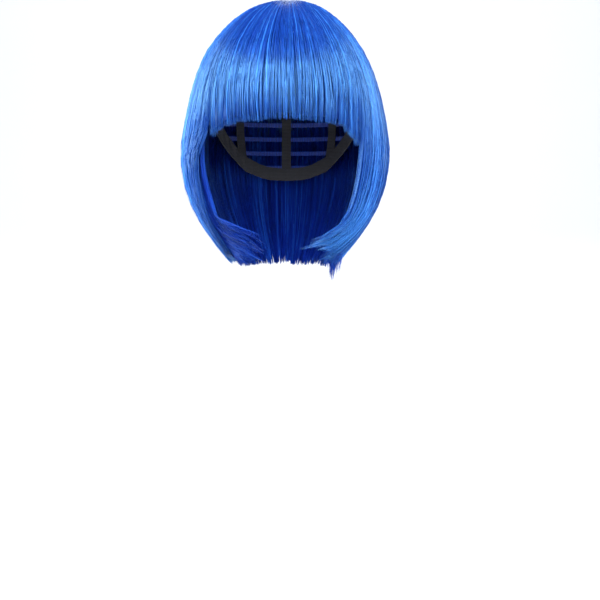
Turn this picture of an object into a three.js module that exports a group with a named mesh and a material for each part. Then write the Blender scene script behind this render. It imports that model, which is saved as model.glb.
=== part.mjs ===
// A short bob wig with a full fringe, as a wig maker assembles one: a stretch cap in the middle, rows of
// hair weft sewn round it, and the hair hanging from them in an under layer and an outer layer.
// Millimetres, +Z up, and the face looks along -Y. The origin is the top of the head, inside the cap.
// Azimuths are in degrees round the head: 0 is the face, 90 the wearer's left ear, 180 the nape.
import * as THREE from "three";

// Driving dimensions of the head that the cap fits
const HEAD = { side: 76, front: 96, back: 93, height: 95 };
// How much the head narrows by one head height below its widest level
const HEAD_TAPER = { side: 0.1, front: 0.1, back: 0.55 };

// How far each part of the cap stands off the head, inside and outside
const CAP_LAYER = { inside: 0, outside: 1.4 };
const RIBBON_LAYER = { inside: 1.8, outside: 2.6 };
const PATCH_LAYER = { inside: 1.8, outside: 2.8 };

const CROWN_NET = { columns: 40, rows: 4 };
const BAND_COLUMNS = 60;
const PATCH = { x: 4, y: -16, side: 15, depth: 19, columns: 20 };
const RIBBON = { width: 9, rows: 7, lap: 5, azimuths: [90, 120, 150, 180, 210, 240, 270] };
const WEFT = { height: 4, thickness: 1.2, degreesPerStep: 7 };

// The crown net ends at this height, round the head
const CROWN_EDGE = [
  { azimuth: 0, height: -38 },
  { azimuth: 30, height: -41 },
  { azimuth: 45, height: -49 },
  { azimuth: 60, height: -52 },
  { azimuth: 180, height: -52 },
];

// The band runs along the hairline, down to a tab before each ear, over the ear and round the nape
const BAND_EDGES = [
  { azimuth: 0, upper: -39, lower: -50 },
  { azimuth: 30, upper: -42.5, lower: -54 },
  { azimuth: 45, upper: -53, lower: -68 },
  { azimuth: 60, upper: -73, lower: -95 },
  { azimuth: 75, upper: -96, lower: -115 },
  { azimuth: 88, upper: -94, lower: -112 },
  { azimuth: 100, upper: -82, lower: -96 },
  { azimuth: 115, upper: -84, lower: -97 },
  { azimuth: 130, upper: -100, lower: -118 },
  { azimuth: 150, upper: -130, lower: -146 },
  { azimuth: 165, upper: -141, lower: -154 },
  { azimuth: 180, upper: -143, lower: -155 },
];

// Rows of weft. Each runs as far as its reach to both sides of its middle, at a lift off the head that
// clears the crown net in front and the ribbons behind
const WEFT_ROWS = [
  { height: -20, middle: 0, reach: 56, lift: 1.8 },
  { height: -33, middle: 0, reach: 52, lift: 1.8 },
  { height: -58, middle: 180, reach: 118, lift: 3 },
  { height: -72, middle: 180, reach: 112, lift: 3 },
  { height: -86, middle: 180, reach: 104, lift: 3 },
  { height: -100, middle: 180, reach: 66, lift: 3 },
  { height: -114, middle: 180, reach: 48, lift: 3 },
  { height: -128, middle: 180, reach: 38, lift: 3 },
  { height: -142, middle: 180, reach: 26, lift: 3 },
];

// Outer surface of the hair in level sections, from the whorl to the tips. Each section is an oval round
// the point x, y, with its reach to the side, to the front and to the back from there
const HAIR_SECTIONS = [
  { x: 4, y: -16, z: 5.2, side: 7, front: 7, back: 7 },
  { x: 3, y: -15, z: 7, side: 16, front: 17, back: 19 },
  { x: 2, y: -13, z: 2.5, side: 30, front: 33, back: 38 },
  { x: 1, y: -10, z: -7.5, side: 45.5, front: 51, back: 59.5 },
  { x: 0.5, y: -7, z: -21.5, side: 60, front: 70, back: 76 },
  { x: 0, y: -4, z: -40, side: 73, front: 88, back: 90 },
  { x: 0, y: -2, z: -60.5, side: 82, front: 100.5, back: 99.5 },
  { x: 0, y: 0, z: -82, side: 88.5, front: 108, back: 107 },
  { x: 0, y: 0, z: -105, side: 93.3, front: 107, back: 112 },
  { x: 0, y: 0, z: -128, side: 96.5, front: 103, back: 112.5 },
  { x: 0, y: 0, z: -150, side: 95.2, front: 98, back: 108 },
  { x: 0, y: 0, z: -172, side: 89.8, front: 92, back: 100 },
  { x: 0, y: 0, z: -192, side: 80, front: 84, back: 90 },
  { x: 0, y: 0, z: -210, side: 67, front: 73, back: 78 },
  { x: 0, y: 0, z: -224, side: 55.5, front: 62, back: 67 },
  { x: 0, y: 0, z: -232, side: 48.5, front: 55, back: 59 },
  { x: 0, y: 0, z: -240, side: 44.5, front: 50, back: 54 },
];

// Inner surface of the hair where it hangs free of the cap, for the same sections
const FIRST_FREE_SECTION = 7;
const INNER_SECTIONS = [
  { x: 0, y: 0, z: -82, side: 80, front: 99, back: 97 },
  { x: 0, y: 0, z: -105, side: 81.5, front: 98, back: 98 },
  { x: 0, y: 0, z: -128, side: 83, front: 93, back: 99 },
  { x: 0, y: 0, z: -150, side: 83, front: 87, back: 96 },
  { x: 0, y: 0, z: -172, side: 78, front: 81, back: 89 },
  { x: 0, y: 0, z: -192, side: 69.5, front: 74, back: 80 },
  { x: 0, y: 0, z: -209, side: 58.5, front: 64, back: 70 },
  { x: 0, y: 0, z: -221, side: 49.5, front: 55, back: 61 },
  { x: 0, y: 0, z: -229, side: 43, front: 49, back: 54 },
  { x: 0, y: 0, z: -237, side: 40, front: 45, back: 49 },
];

// The hair lies this far off the head over the crown, and further where it clears the rows of weft
const HAIR_LIFT = { overCrown: 3.5, overWefts: 4.9, from: 3.5, to: 5.5 };

// The outer layer fills the whole thickness of the hair down to this section, where the under layer
// starts. Below it each layer keeps to its own share of the thickness, counted from outside to inside
const UNDER_LAYER_TOP = 6.8;
const FILLED = { to: 5.6, endsBy: 6.6 };
const OUTER_LAYER = { start: 0, depth: [0, 0.5], relief: 1.5, jag: 0.3 };
const UNDER_LAYER = { start: UNDER_LAYER_TOP, depth: [0.7, 1], relief: 0, jag: 0.3 };

// How locks sweep round on their way down. A share of the sweep may come early, by a share of the way, and
// the rest comes at a power of the way
const EVEN_BEND = { early: 0, earlyBy: 1, power: 1.6 };
const LATE_BEND = { early: 0, earlyBy: 1, power: 3 };
const EARLY_THEN_LATE_BEND = { early: 0.36, earlyBy: 0.25, power: 3 };
const CURL_BEND = { early: 0.6, earlyBy: 0.4, power: 1.5 };

// Each node of hair: its layer, where it lies round the head, how many locks it has, and how they bend. Tips
// has the section at which the hair ends, the one from which it sweeps, and its sweep and rise by the end
const HAIR = {
  fringe: {
    ...OUTER_LAYER, depth: [0, 1], relief: 1.2, jag: 0.12,
    from: -43, to: 43, locks: 11, rows: 9, bend: EVEN_BEND,
    tips: [
      { azimuth: -43, end: 8.7, sweepFrom: 7, sweep: 0, rise: 0 },
      { azimuth: -30, end: 8.25, sweepFrom: 7, sweep: 0, rise: 0 },
      { azimuth: 0, end: 8.08, sweepFrom: 7, sweep: 0, rise: 0 },
      { azimuth: 30, end: 8.3, sweepFrom: 7, sweep: 0, rise: 0 },
      { azimuth: 43, end: 9.1, sweepFrom: 7, sweep: 0, rise: 0 },
    ],
  },
  side_right: {
    ...OUTER_LAYER,
    from: -125, to: -43, locks: 10, rows: 15, bend: EARLY_THEN_LATE_BEND,
    tips: [
      { azimuth: -125, end: 15.4, sweepFrom: 8, sweep: 0, rise: 0 },
      { azimuth: -90, end: 15.3, sweepFrom: 8, sweep: -3, rise: 0 },
      { azimuth: -60, end: 14.9, sweepFrom: 8, sweep: -24, rise: 0 },
      { azimuth: -43, end: 14.5, sweepFrom: 8, sweep: -38, rise: 0 },
    ],
  },
  side_left: {
    ...OUTER_LAYER,
    from: 43, to: 125, locks: 10, rows: 16, bend: LATE_BEND,
    tips: [
      { azimuth: 43, end: 13.7, sweepFrom: 11.5, sweep: -38, rise: 5 },
      { azimuth: 60, end: 14.3, sweepFrom: 11.5, sweep: -44, rise: 3 },
      { azimuth: 80, end: 15.1, sweepFrom: 11.5, sweep: -44, rise: 0 },
      { azimuth: 100, end: 15.4, sweepFrom: 11.5, sweep: -24, rise: 0 },
      { azimuth: 125, end: 15.4, sweepFrom: 11.5, sweep: 0, rise: 0 },
    ],
  },
  back: {
    ...OUTER_LAYER,
    from: 125, to: 235, locks: 13, rows: 14, bend: EVEN_BEND,
    tips: [
      { azimuth: 125, end: 15.4, sweepFrom: 9, sweep: 0, rise: 0 },
      { azimuth: 180, end: 15.1, sweepFrom: 9, sweep: 0, rise: 0 },
      { azimuth: 235, end: 15.4, sweepFrom: 9, sweep: 0, rise: 0 },
    ],
  },
  under_right: {
    ...UNDER_LAYER,
    from: -122, to: -56, locks: 8, rows: 16, bend: CURL_BEND,
    tips: [
      { azimuth: -122, end: 16, sweepFrom: 11.5, sweep: 10, rise: 0 },
      { azimuth: -98, end: 15.8, sweepFrom: 13.8, sweep: 52, rise: 0 },
      { azimuth: -75, end: 15.2, sweepFrom: 13.4, sweep: 53, rise: 0 },
      { azimuth: -56, end: 13.3, sweepFrom: 12, sweep: 45, rise: 0 },
    ],
  },
  under_left: {
    ...UNDER_LAYER,
    from: 48, to: 122, locks: 7, rows: 12, bend: EVEN_BEND,
    tips: [
      { azimuth: 48, end: 13.7, sweepFrom: 11, sweep: -15, rise: 0 },
      { azimuth: 60, end: 14.6, sweepFrom: 11, sweep: -15, rise: 0 },
      { azimuth: 75, end: 15.6, sweepFrom: 12, sweep: -18, rise: 0 },
      { azimuth: 95, end: 16, sweepFrom: 12, sweep: -12, rise: 0 },
      { azimuth: 122, end: 16, sweepFrom: 12, sweep: 0, rise: 0 },
    ],
  },
  nape: {
    ...UNDER_LAYER,
    from: 122, to: 238, locks: 9, rows: 9, bend: EVEN_BEND,
    tips: [
      { azimuth: 122, end: 16, sweepFrom: 10, sweep: 0, rise: 0 },
      { azimuth: 180, end: 15.8, sweepFrom: 10, sweep: 0, rise: 0 },
      { azimuth: 238, end: 16, sweepFrom: 10, sweep: 0, rise: 0 },
    ],
  },
};

// Gap between neighbouring nodes of hair
const SEAM = 0.6;
// The last share of a lock thins to this part of its thickness
const THINNING = { lastShare: 0.25, thickness: 0.45 };
// Locks that rise at their tips do so over the last of their way, at this power of it
const RISE_POWER = 6;
// Locks rise to their full relief by this section
const FULL_RELIEF_FROM = 4;
// The hair's sections are a little squarer than an ellipse, whose power is 2
const HAIR_OVAL_POWER = 2.1;

const { degToRad, radToDeg, euclideanModulo, lerp, clamp, smoothstep } = THREE.MathUtils;

// Straight interpolation of a table in one of its columns
function alongTable(table, column, at, value) {
  const last = table.length - 1;
  let i = 0;
  while (i < last - 1 && at > table[i + 1][column]) i += 1;
  const [a, b] = [table[i], table[i + 1]];
  const share = clamp((at - a[column]) / (b[column] - a[column]), 0, 1);
  return lerp(a[value], b[value], share);
}

// The section at a fractional index of a table, on a smooth curve through its rows
function sectionAt(sections, index) {
  const last = sections.length - 1;
  const i = Math.min(Math.floor(clamp(index, 0, last)), last - 1);
  const t = index - i;
  const rows = [-1, 0, 1, 2].map((step) => sections[clamp(i + step, 0, last)]);
  const blend = (key) => {
    const [before, a, b, after] = rows.map((row) => row[key]);
    const bend = 2 * before - 5 * a + 4 * b - after + (3 * a - before - 3 * b + after) * t;
    return a + 0.5 * t * (b - before + t * bend);
  };
  return Object.fromEntries(Object.keys(sections[0]).map((key) => [key, blend(key)]));
}

// The point of a level oval that lies at an azimuth
function ovalPoint(azimuth, { x, y, z, side, front, back }, power = 2) {
  const across = Math.sin(degToRad(azimuth));
  const ahead = Math.cos(degToRad(azimuth));
  const depth = ahead > 0 ? front : back;
  const sum = Math.abs(across / side) ** power + Math.abs(ahead / depth) ** power;
  const reach = sum ** (-1 / power);
  return new THREE.Vector3(x + reach * across, y - reach * ahead, z);
}

// The point at an azimuth and height that stands off the head by lift
function headPoint(azimuth, height, lift) {
  const { side, front, back, height: rise } = HEAD;
  const below = Math.max(0, -rise - height) / rise;
  const share = below > 0 ? 1 : Math.sqrt(1 - clamp((height + rise) / rise, 0, 1) ** 2);
  const reach = (size, taper) => size * (1 - taper * below ** 2) + lift;
  const point = ovalPoint(azimuth, {
    x: 0,
    y: 0,
    z: below > 0 ? height : -rise + ((height + rise) * (rise + lift)) / rise,
    side: reach(side, HEAD_TAPER.side),
    front: reach(front, HEAD_TAPER.front),
    back: reach(back, HEAD_TAPER.back),
  });
  return point.multiply(new THREE.Vector3(share, share, 1));
}

// The point that lies on the line from the head's middle to a point, and stands off the head by lift
function onHeadBelow(point, lift) {
  const { side, front, back, height } = HEAD;
  const middle = new THREE.Vector3(0, 0, -height);
  const out = point.clone().sub(middle);
  const depth = out.y < 0 ? front : back;
  const scaled = Math.hypot(out.x / (side + lift), out.y / (depth + lift), out.z / (height + lift));
  return middle.addScaledVector(out, 1 / scaled);
}

// The height on the head at a share of the way from its top to a lower edge, even along the arc
function heightTowards(edge, share) {
  const { height } = HEAD;
  const angle = Math.acos(clamp((edge + height) / height, -1, 1)) * share;
  return -height + height * Math.cos(angle);
}

function withoutSplits(geometry) {
  geometry.deleteAttribute("normal");
  geometry.deleteAttribute("uv");
  return geometry;
}

// A strip or sheet bent from a box: place gives each corner's point from its share across, its share
// down and whether it is outside
function bentBox(columns, rows, place) {
  const geometry = withoutSplits(new THREE.BoxGeometry(1, 1, 1, columns, rows, 1));
  const corners = geometry.attributes.position;
  for (let i = 0; i < corners.count; i += 1) {
    const point = place(corners.getX(i) + 0.5, 0.5 - corners.getY(i), corners.getZ(i) > 0);
    corners.setXYZ(i, point.x, point.y, point.z);
  }
  return geometry;
}

// A turned ring or dome whose every point is then placed by its azimuth and its place in the profile
function turned(columns, profile, place) {
  const steps = profile.map((step, i) => new THREE.Vector2(step.onAxis ? 0 : 1, i));
  const geometry = withoutSplits(new THREE.LatheGeometry(steps, columns));
  const corners = geometry.attributes.position;
  for (let i = 0; i < corners.count; i += 1) {
    const column = Math.floor(i / profile.length) % columns;
    const point = place((column * 360) / columns, profile[i % profile.length]);
    corners.setXYZ(i, point.x, point.y, point.z);
  }
  return geometry;
}

// How far round from the face an azimuth lies, on either side
const fromFace = (azimuth) => Math.abs(euclideanModulo(azimuth + 180, 360) - 180);

function crownNet() {
  const stepAt = (_, i) => ({ share: i / CROWN_NET.rows, onAxis: i === 0 });
  const steps = Array.from({ length: CROWN_NET.rows + 1 }, stepAt);
  const inside = steps.map((step) => ({ ...step, lift: CAP_LAYER.inside }));
  const outside = steps.map((step) => ({ ...step, lift: CAP_LAYER.outside })).reverse();
  return turned(CROWN_NET.columns, [...inside, ...outside], (azimuth, { share, lift }) => {
    const edge = alongTable(CROWN_EDGE, "azimuth", fromFace(azimuth), "height");
    return headPoint(azimuth, heightTowards(edge, share), lift);
  });
}

function capBand() {
  const profile = [
    { edge: "upper", lift: CAP_LAYER.outside },
    { edge: "upper", lift: CAP_LAYER.inside },
    { edge: "lower", lift: CAP_LAYER.inside },
    { edge: "lower", lift: CAP_LAYER.outside },
    { edge: "upper", lift: CAP_LAYER.outside },
  ];
  return turned(BAND_COLUMNS, profile, (azimuth, { edge, lift }) =>
    headPoint(azimuth, alongTable(BAND_EDGES, "azimuth", fromFace(azimuth), edge), lift),
  );
}

function crownPatch() {
  const rings = [
    { share: 0, lift: PATCH_LAYER.inside, onAxis: true },
    { share: 0.5, lift: PATCH_LAYER.inside },
    { share: 1, lift: PATCH_LAYER.inside },
    { share: 1, lift: PATCH_LAYER.outside },
    { share: 0.5, lift: PATCH_LAYER.outside },
    { share: 0, lift: PATCH_LAYER.outside, onAxis: true },
  ];
  return turned(PATCH.columns, rings, (azimuth, { share, lift }) => {
    const across = Math.sin(degToRad(azimuth)) * PATCH.side * share;
    const ahead = Math.cos(degToRad(azimuth)) * PATCH.depth * share;
    return onHeadBelow(new THREE.Vector3(PATCH.x + across, PATCH.y - ahead, 0), lift);
  });
}

// An elastic ribbon from under the crown net's edge to the band, outside both
function ribbon(azimuth) {
  const top = alongTable(CROWN_EDGE, "azimuth", fromFace(azimuth), "height") + RIBBON.lap;
  const bottom = alongTable(BAND_EDGES, "azimuth", fromFace(azimuth), "upper") - RIBBON.lap;
  return bentBox(1, RIBBON.rows, (across, down, outside) => {
    const height = lerp(top, bottom, down);
    const lift = outside ? RIBBON_LAYER.outside : RIBBON_LAYER.inside;
    const middle = headPoint(azimuth, height, lift);
    const width = radToDeg(RIBBON.width / Math.hypot(middle.x, middle.y));
    return headPoint(azimuth + width * (across - 0.5), height, lift);
  });
}

function weftRow({ height, middle, reach, lift }) {
  const steps = Math.round((2 * reach) / WEFT.degreesPerStep);
  return bentBox(steps, 1, (across, down, outside) =>
    headPoint(
      middle + reach * (2 * across - 1),
      height + WEFT.height * (0.5 - down),
      lift + (outside ? WEFT.thickness : 0),
    ),
  );
}

// Outer surface of the hair at an azimuth and section index
const hairOutside = (azimuth, index) => ovalPoint(azimuth, sectionAt(HAIR_SECTIONS, index), HAIR_OVAL_POWER);

// Inner surface of the hair: on the cap above the head's widest level, and hanging free below it
function hairInside(azimuth, index) {
  const overWefts = smoothstep(index, HAIR_LIFT.from, HAIR_LIFT.to);
  const lift = lerp(HAIR_LIFT.overCrown, HAIR_LIFT.overWefts, overWefts);
  const onCap = onHeadBelow(hairOutside(azimuth, index), lift);
  if (index <= FIRST_FREE_SECTION) return onCap;
  const section = sectionAt(INNER_SECTIONS, index - FIRST_FREE_SECTION);
  const free = ovalPoint(azimuth, section, HAIR_OVAL_POWER);
  return onCap.lerp(free, smoothstep(index, FIRST_FREE_SECTION, FIRST_FREE_SECTION + 1));
}

// A steady variation between -1 and 1 for lock number n, so that no two neighbours are alike
const variation = (n) => Math.sin(n * 2.4 + 0.7);

// Every second column of a sheet of hair is the ridge of a lock, from 60% to all of the layer's relief
const ridgeHeight = (column, relief) => (column % 2) * relief * (0.8 + 0.2 * variation(column));

// How far a column ends short of its table's end, as a share of the jag: all of it between two locks
const shortfall = (column) => (column % 2 ? 0.3 * (1 - variation(column)) : 1);

// The share of a sweep that is done by a share of the way
const bent = (share, { early, earlyBy, power }) =>
  early * smoothstep(share, 0, earlyBy) + (1 - early) * share ** power;

// One node of hair: a curved sheet whose outside has a ridge for each lock, and whose locks end in points
function hair({ from, to, locks, rows, start, depth, relief, jag, bend, tips }) {
  const columns = 2 * locks;
  return bentBox(columns, rows, (across, down, outside) => {
    const straight = lerp(from, to, across);
    const atTip = (value) => alongTable(tips, "azimuth", straight, value);
    const column = Math.round(across * columns);
    const index = lerp(start, atTip("end") - jag * shortfall(column), down);
    const way = clamp((index - atTip("sweepFrom")) / (atTip("end") - atTip("sweepFrom")), 0, 1);
    const azimuth = straight + atTip("sweep") * bent(way, bend);

    const outer = hairOutside(azimuth, index);
    const inner = hairInside(azimuth, index);
    const belowFilled = start > 0 ? 1 : smoothstep(index, FILLED.to, FILLED.endsBy);
    const thinned = smoothstep(down, 1 - THINNING.lastShare, 1) * (1 - THINNING.thickness);
    const deepest = lerp(lerp(1, depth[1], belowFilled), depth[0], thinned);
    const point = outer.clone().lerp(inner, outside ? depth[0] : deepest);
    point.z += atTip("rise") * down ** RISE_POWER;
    if (outside) {
      const ridge = ridgeHeight(column, relief) * smoothstep(index, 0, FULL_RELIEF_FROM);
      point.addScaledVector(outer.sub(inner).normalize(), ridge);
    }
    const inset = column === 0 ? 1 : column === columns ? -1 : 0;
    const sideways = new THREE.Vector3(Math.cos(degToRad(azimuth)), Math.sin(degToRad(azimuth)), 0);
    return point.addScaledVector(sideways, (inset * SEAM) / 2);
  });
}

const netCloth = new THREE.MeshStandardMaterial({ color: "#1b2036", roughness: 0.95 });
const elastic = new THREE.MeshStandardMaterial({ color: "#14172a", roughness: 0.85 });
const skinPatch = new THREE.MeshStandardMaterial({ color: "#e9d9cf", roughness: 0.6 });
const weftThread = new THREE.MeshStandardMaterial({ color: "#173a9c", roughness: 0.7 });
const outerFibre = new THREE.MeshStandardMaterial({ color: "#2b6fe0", roughness: 0.35 });
const underFibre = new THREE.MeshStandardMaterial({ color: "#173fae", roughness: 0.4 });

const wig = new THREE.Group();
const cap = new THREE.Group();
const tresses = new THREE.Group();
wig.add(cap, tresses);

function addTo(group, name, geometry, material) {
  const mesh = new THREE.Mesh(geometry, material);
  mesh.name = name;
  group.add(mesh);
}

addTo(cap, "crown_net", crownNet(), netCloth);
addTo(cap, "cap_band", capBand(), elastic);
addTo(cap, "crown_patch", crownPatch(), skinPatch);
RIBBON.azimuths.forEach((azimuth, i) => addTo(cap, `ribbon_${i + 1}`, ribbon(azimuth), elastic));
WEFT_ROWS.forEach((row, i) => addTo(cap, `weft_row_${i + 1}`, weftRow(row), weftThread));
for (const [name, piece] of Object.entries(HAIR)) {
  addTo(tresses, `${name}_hair`, hair(piece), piece.relief > 0 ? outerFibre : underFibre);
}

export default wig;
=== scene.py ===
# %% [markdown]
# A short bob wig with a full fringe. On the real wig thousands of straight synthetic fibres are sewn in
# rows to a stretch cap. The solid model gives each mass of hair as one closed sheet. This scene puts combed
# strands in the place of those sheets, and gives the cap its net, elastic and stitching.

import math

import bmesh
import bpy
import numpy as np
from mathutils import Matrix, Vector


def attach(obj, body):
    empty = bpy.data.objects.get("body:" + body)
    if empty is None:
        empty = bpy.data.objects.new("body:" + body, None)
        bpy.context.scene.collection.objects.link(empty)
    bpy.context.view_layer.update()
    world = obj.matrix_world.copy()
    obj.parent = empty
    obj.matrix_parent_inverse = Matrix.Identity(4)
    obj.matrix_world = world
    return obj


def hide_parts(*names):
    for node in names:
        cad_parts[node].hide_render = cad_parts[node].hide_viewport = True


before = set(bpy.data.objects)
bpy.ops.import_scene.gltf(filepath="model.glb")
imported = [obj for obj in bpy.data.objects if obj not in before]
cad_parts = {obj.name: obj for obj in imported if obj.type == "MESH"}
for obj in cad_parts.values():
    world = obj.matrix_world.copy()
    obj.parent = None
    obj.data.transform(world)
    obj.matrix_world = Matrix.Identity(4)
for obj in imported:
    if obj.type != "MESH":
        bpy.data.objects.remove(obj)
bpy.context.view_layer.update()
MM = 0.001
print("nodes in the frame:", len(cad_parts))

# %% [markdown]
# The camera comes first. The photograph was taken with a long lens at about the height of the cheeks, with a
# slight tilt down. The wig lies in the upper half of its square picture, a little left of the middle. A
# lens of about 97 mm from a metre and a half gives the same flat look.

# %% Camera
FIELD_WIDTH = 0.558
CAMERA_DISTANCE = 1.5
SENSOR_WIDTH = 36
PICTURE_MIDDLE_X = 0.0134
CAMERA_HEIGHT = -0.188
AIM_HEIGHT = -0.2671
CAMERA_AT = Vector((PICTURE_MIDDLE_X, -CAMERA_DISTANCE, CAMERA_HEIGHT))
CAMERA_AIM = Vector((PICTURE_MIDDLE_X, 0, AIM_HEIGHT))

camera = bpy.data.objects.new("camera", bpy.data.cameras.new("camera"))
camera.data.sensor_width = SENSOR_WIDTH
camera.data.lens = SENSOR_WIDTH * CAMERA_DISTANCE / FIELD_WIDTH
camera.location = CAMERA_AT
camera.rotation_euler = (CAMERA_AIM - CAMERA_AT).to_track_quat("-Z", "Y").to_euler()
bpy.context.scene.collection.objects.link(camera)
bpy.context.scene.camera = camera
bpy.context.scene.view_settings.view_transform = "Standard"
print("lens:", round(camera.data.lens, 1), "mm")

# %% [markdown]
# Every finish is a node material. One function turns a colour from the hex code that a paint card gives
# into the linear values that the shader wants, and one function adds a node with its settings and links.

# %% Helpers for materials
def linear(code):
    """The linear colour of an sRGB hex code."""
    parts = [int(code[i : i + 2], 16) / 255 for i in (1, 3, 5)]
    return [p / 12.92 if p <= 0.04045 else ((p + 0.055) / 1.055) ** 2.4 for p in parts] + [1]


def add_node(tree, kind, settings=None, inputs=None):
    """Adds a node, sets its properties, and sets or links its inputs."""
    node = tree.nodes.new(kind)
    for key, value in (settings or {}).items():
        setattr(node, key, value)
    for key, value in (inputs or {}).items():
        if isinstance(value, bpy.types.NodeSocket):
            tree.links.new(value, node.inputs[key])
        else:
            node.inputs[key].default_value = value
    return node


def new_material(name):
    """An empty node material, its tree and its output."""
    material = bpy.data.materials.new(name)
    material.use_nodes = True
    material.node_tree.nodes.clear()
    return material, material.node_tree, material.node_tree.nodes.new("ShaderNodeOutputMaterial")


# %% [markdown]
# The hair is modacrylic fibre, extruded through fine holes and ironed flat, so it is smooth and glossy, with
# a clean bright band where the light grazes it. The fibre is dyed a deep blue all through, and its gloss
# takes a tint of pale blue, as light does that also runs a little way into the fibre. Each strand has its
# own depth of colour, its tone, and fine streaks run along it. The tone also carries the painted shade and
# painted highlights that the combing gives some locks, wisps and tips. The flow attribute holds the place
# across and along the hair in millimetres, so that the streaks follow the comb. The streaks of the real
# fibre, 0.08 mm wide, are drawn 0.6 mm wide to show at all.


# %% Hair material
STREAK_WIDTH_MM = 0.6
STREAK_LENGTH_MM = 45
STREAK_TONE = 0.3
STREAK_GLOSS = 0.07
FIBRE_IOR = 1.53
GLOSS_TINT = "#90e4ff"


def hair_fibre(name, deep, body, light, roughness, gleam):
    """Glossy straight fibre whose colour goes from deep to light with each strand's tone."""
    material, tree, output = new_material(name)
    flow = add_node(tree, "ShaderNodeAttribute", {"attribute_name": "flow"})
    tone = add_node(tree, "ShaderNodeAttribute", {"attribute_name": "tone"})
    along = add_node(
        tree,
        "ShaderNodeMapping",
        inputs={
            "Vector": flow.outputs["Vector"],
            "Scale": (1 / STREAK_WIDTH_MM, 1 / STREAK_LENGTH_MM, 1),
        },
    )
    streaks = add_node(
        tree,
        "ShaderNodeTexNoise",
        inputs={"Vector": along.outputs["Vector"], "Scale": 1.0, "Detail": 3.0, "Roughness": 0.6},
    )
    spread = add_node(
        tree,
        "ShaderNodeMapRange",
        inputs={
            "Value": streaks.outputs["Fac"],
            "From Min": 0.3,
            "From Max": 0.7,
            "To Min": -STREAK_TONE,
            "To Max": STREAK_TONE,
        },
    )
    shade = add_node(
        tree,
        "ShaderNodeMath",
        {"operation": "ADD", "use_clamp": True},
        {0: tone.outputs["Fac"], 1: spread.outputs["Result"]},
    )
    ramp = add_node(tree, "ShaderNodeValToRGB", inputs={"Fac": shade.outputs["Value"]})
    ramp.color_ramp.elements[0].color = linear(deep)
    ramp.color_ramp.elements[1].color = linear(light)
    ramp.color_ramp.elements.new(0.5).color = linear(body)
    gloss = add_node(
        tree,
        "ShaderNodeMapRange",
        inputs={
            "Value": streaks.outputs["Fac"],
            "To Min": roughness - STREAK_GLOSS,
            "To Max": roughness + STREAK_GLOSS,
        },
    )
    bump = add_node(
        tree,
        "ShaderNodeBump",
        inputs={"Height": streaks.outputs["Fac"], "Strength": 0.35, "Distance": 0.0003},
    )
    shader = add_node(
        tree,
        "ShaderNodeBsdfPrincipled",
        inputs={
            "Base Color": ramp.outputs["Color"],
            "Roughness": gloss.outputs["Result"],
            "IOR": FIBRE_IOR,
            "Specular IOR Level": gleam,
            "Specular Tint": linear(GLOSS_TINT),
            "Normal": bump.outputs["Normal"],
        },
    )
    tree.links.new(shader.outputs["BSDF"], output.inputs["Surface"])
    return material


# Brushed and ironed outer hair, with a tight gloss. The under hair is the same fibre, and its darker colours
# and weaker, wider gloss are painted shade, the shade that the head casts on the hair hanging behind it.
# The hair deep in the mass gets little light, so its sheet has colours darkened as painted shade, and it is
# nearly dull.
outer_fibre = hair_fibre("modacrylic_hair", "#052374", "#0b3489", "#2c6bc2", 0.24, 1.0)
under_fibre_painted_shade = hair_fibre("modacrylic_under_hair_painted_shade", "#040f54", "#071f80", "#1746a8", 0.34, 0.35)
shell_fibre_painted_shade = hair_fibre("modacrylic_deep_hair_painted_shade", "#041040", "#051862", "#0a2c80", 0.5, 0.5)
print("hair materials:", outer_fibre.name, under_fibre_painted_shade.name, shell_fibre_painted_shade.name)


# %% [markdown]
# All the hair runs from a whorl on the crown, over the head and down to the tips. That run is given by level
# ovals, the same as in the solid model: an outer surface from whorl to tips, an inner one where the hair
# hangs free, and the head below it. A place in the hair is an azimuth round the head, 0 at the face and 90 at
# the wearer's left ear, and a section number from 0 at the whorl to 16 at the lowest tips.

# %% The form of the hair
HEAD = {"side": 76, "front": 96, "back": 93, "height": 95}
HAIR_LIFT = {"over_crown": 3.5, "over_wefts": 4.9, "from": 3.5, "to": 5.5}
OVAL_POWER = 2.1
FIRST_FREE_SECTION = 7

# Columns: middle x, middle y, z, reach to the side, to the front and to the back, in millimetres
OUTER_SECTIONS = np.array(
    [
        (4, -16, 5.2, 7, 7, 7),
        (3, -15, 7, 16, 17, 19),
        (2, -13, 2.5, 30, 33, 38),
        (1, -10, -7.5, 45.5, 51, 59.5),
        (0.5, -7, -21.5, 60, 70, 76),
        (0, -4, -40, 73, 88, 90),
        (0, -2, -60.5, 82, 100.5, 99.5),
        (0, 0, -82, 88.5, 108, 107),
        (0, 0, -105, 93.3, 107, 112),
        (0, 0, -128, 96.5, 103, 112.5),
        (0, 0, -150, 95.2, 98, 108),
        (0, 0, -172, 89.8, 92, 100),
        (0, 0, -192, 80, 84, 90),
        (0, 0, -210, 67, 73, 78),
        (0, 0, -224, 55.5, 62, 67),
        (0, 0, -232, 48.5, 55, 59),
        (0, 0, -240, 44.5, 50, 54),
    ]
)
INNER_SECTIONS = np.array(
    [
        (0, 0, -82, 80, 99, 97),
        (0, 0, -105, 81.5, 98, 98),
        (0, 0, -128, 83, 93, 99),
        (0, 0, -150, 83, 87, 96),
        (0, 0, -172, 78, 81, 89),
        (0, 0, -192, 69.5, 74, 80),
        (0, 0, -209, 58.5, 64, 70),
        (0, 0, -221, 49.5, 55, 61),
        (0, 0, -229, 43, 49, 54),
        (0, 0, -237, 40, 45, 49),
    ]
)


def smoothstep(low, high, value):
    """A smooth rise from 0 at low to 1 at high."""
    share = np.clip((value - low) / (high - low), 0, 1)
    return share * share * (3 - 2 * share)


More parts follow.
